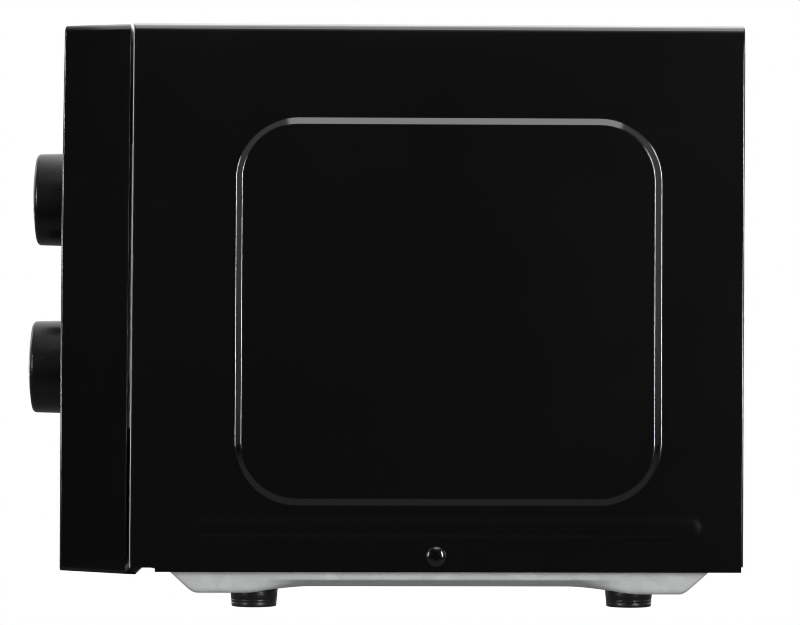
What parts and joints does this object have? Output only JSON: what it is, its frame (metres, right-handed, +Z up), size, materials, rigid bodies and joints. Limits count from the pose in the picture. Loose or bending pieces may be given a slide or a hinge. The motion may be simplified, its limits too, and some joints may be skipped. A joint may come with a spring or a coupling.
{
  "type": "microwave oven with grill",
  "caption": "Compact countertop microwave oven with a quartz grill, a side-hinged door, a turntable, a low rack and a panel with two knobs and a door button.",
  "frame": {"origin": "centre of the bounding box's underside, on the plane of the feet", "axes": "+X to the right seen from the front (the control panel's side), +Y from the door to the back, +Z up"},
  "size_m": [0.452, 0.3232, 0.262],
  "materials": {
    "cover_paint": "semi-gloss black enamel on pressed sheet, smooth, sharp light lines on its bends",
    "galvanised": "zinc-coated steel sheet, satin, faint spangle",
    "grey_paint": "light grey satin paint, seen as a thin line at the seam",
    "cavity_enamel": "light grey smooth enamel",
    "foot_rubber": "matt black moulded",
    "screw_steel": "black oxide, semi-gloss",
    "black_plastic": "satin black moulding, very fine texture",
    "knob_plastic": "satin black moulding",
    "white_plastic": "plain off-white moulding",
    "plain_steel": "plain bright steel",
    "quartz": "frosted quartz",
    "mica": "mica sheet, dull",
    "aluminium": "plain aluminium",
    "core_iron": "varnished laminations",
    "copper": "enamelled copper wire",
    "board": "brown circuit board",
    "dark_glass": "dark tinted, glossy",
    "screen_enamel": "black enamelled perforated sheet",
    "tray_glass": "clear pressed glass",
    "rack_wire": "bright plated wire"
  },
  "bodies": {
    "oven_body": {"outer_cover": "cover_paint", "rear_panel": "galvanised", "base_plate": "galvanised", "front_plate": "grey_paint", "cavity_liner": "cavity_enamel", "foot_front_left": "foot_rubber", "foot_front_right": "foot_rubber", "foot_rear_left": "foot_rubber", "foot_rear_right": "foot_rubber", "side_screw_right": "screw_steel", "side_screw_left": "screw_steel", "rear_screw_1": "screw_steel", "rear_screw_2": "screw_steel", "rear_screw_3": "screw_steel", "rear_screw_4": "screw_steel", "control_panel": "black_plastic", "timer_unit": "white_plastic", "interlock_bracket": "white_plastic", "microswitch_1": "black_plastic", "microswitch_2": "black_plastic", "microswitch_3": "black_plastic", "hinge_upper": "plain_steel", "hinge_lower": "plain_steel", "cord_gland": "black_plastic", "grill_housing": "galvanised", "grill_guard": "plain_steel", "quartz_heater_front": "quartz", "quartz_heater_rear": "quartz", "waveguide": "galvanised", "waveguide_cover": "mica", "magnetron": "aluminium", "transformer_core": "core_iron", "transformer_winding": "copper", "capacitor": "aluminium", "fan_duct": "white_plastic", "fan_motor": "plain_steel", "filter_board": "board", "cavity_lamp": "quartz", "turntable_motor": "galvanised"},
    "door": {"door_frame": "black_plastic", "door_window": "dark_glass", "door_screen": "screen_enamel", "door_choke_cover": "black_plastic"},
    "door_latch": {"latch_hooks": "white_plastic"},
    "power_control": {"power_knob": "knob_plastic", "power_shaft": "plain_steel"},
    "timer_control": {"timer_knob": "knob_plastic", "timer_shaft": "plain_steel"},
    "button": {"open_button": "black_plastic"},
    "lever": {"release_lever": "white_plastic"},
    "fan": {"fan_blade": "white_plastic"},
    "coupler": {"turntable_coupler": "white_plastic"},
    "tray": {"glass_tray": "tray_glass"},
    "rack": {"grill_rack": "rack_wire"},
    "ring": {"roller_ring": "white_plastic"},
    "roller_a": {"roller_1": "white_plastic"},
    "roller_b": {"roller_2": "white_plastic"},
    "roller_c": {"roller_3": "white_plastic"}
  },
  "joints": [
    {"name": "door_hinge", "type": "hinge", "parent": "oven_body", "child": "door", "pos_m": [-0.21, -0.12815, 0.14], "axis": [0, 0, -1], "range_deg": [0, 95]},
    {"name": "latch_lift", "type": "slide", "parent": "door", "child": "door_latch", "axis": [0, 0, 1], "range_m": [0, 0.004]},
    {"name": "power_turn", "type": "hinge", "parent": "oven_body", "child": "power_control", "pos_m": [0.17325, -0.14315, 0.1856], "axis": [0, 1, 0], "range_deg": [0, 285]},
    {"name": "timer_turn", "type": "hinge", "parent": "oven_body", "child": "timer_control", "pos_m": [0.17325, -0.14315, 0.1089], "axis": [0, 1, 0], "range_deg": [0, 300]},
    {"name": "button_press", "type": "slide", "parent": "oven_body", "child": "button", "axis": [0, 1, 0], "range_m": [0, 0.005], "stiffness_N_per_m": 600, "springref_m": -0.002},
    {"name": "lever_turn", "type": "hinge", "parent": "oven_body", "child": "lever", "pos_m": [0.1107, -0.10625, 0.067], "axis": [1, 0, 0], "range_deg": [0, 16]},
    {"name": "fan_spin", "type": "hinge", "parent": "oven_body", "child": "fan", "pos_m": [0.1571, 0.13795, 0.178], "axis": [0, 1, 0], "continuous": true},
    {"name": "turntable_spin", "type": "hinge", "parent": "oven_body", "child": "coupler", "pos_m": [-0.054, 0.01845, 0.036], "axis": [0, 0, 1], "continuous": true},
    {"name": "tray_lift", "type": "slide", "parent": "coupler", "child": "tray", "axis": [0, 0, 1], "range_m": [0, 0.012]},
    {"name": "rack_lift", "type": "slide", "parent": "tray", "child": "rack", "axis": [0, 0, 1], "range_m": [0, 0.02]},
    {"name": "ring_spin", "type": "hinge", "parent": "oven_body", "child": "ring", "pos_m": [-0.054, 0.01845, 0.0433], "axis": [0, 0, 1], "continuous": true},
    {"name": "roller_a_spin", "type": "hinge", "parent": "ring", "child": "roller_a", "pos_m": [0.038, 0.01845, 0.0433], "axis": [1, 0, 0], "continuous": true},
    {"name": "roller_b_spin", "type": "hinge", "parent": "ring", "child": "roller_b", "pos_m": [-0.1, 0.09812, 0.0433], "axis": [-0.5, 0.866, 0], "continuous": true},
    {"name": "roller_c_spin", "type": "hinge", "parent": "ring", "child": "roller_c", "pos_m": [-0.1, -0.06122, 0.0433], "axis": [-0.5, -0.866, 0], "continuous": true}
  ],
  "couplings": [
    {"joint": "latch_lift", "follows": "button_press", "ratio": 0.8},
    {"joint": "lever_turn", "follows": "button_press", "rad_per_m": 52.632},
    {"joint": "ring_spin", "follows": "turntable_spin", "ratio": 0.5},
    {"joint": "roller_a_spin", "follows": "turntable_spin", "ratio": -6.5714},
    {"joint": "roller_b_spin", "follows": "turntable_spin", "ratio": -6.5714},
    {"joint": "roller_c_spin", "follows": "turntable_spin", "ratio": -6.5714}
  ]
}
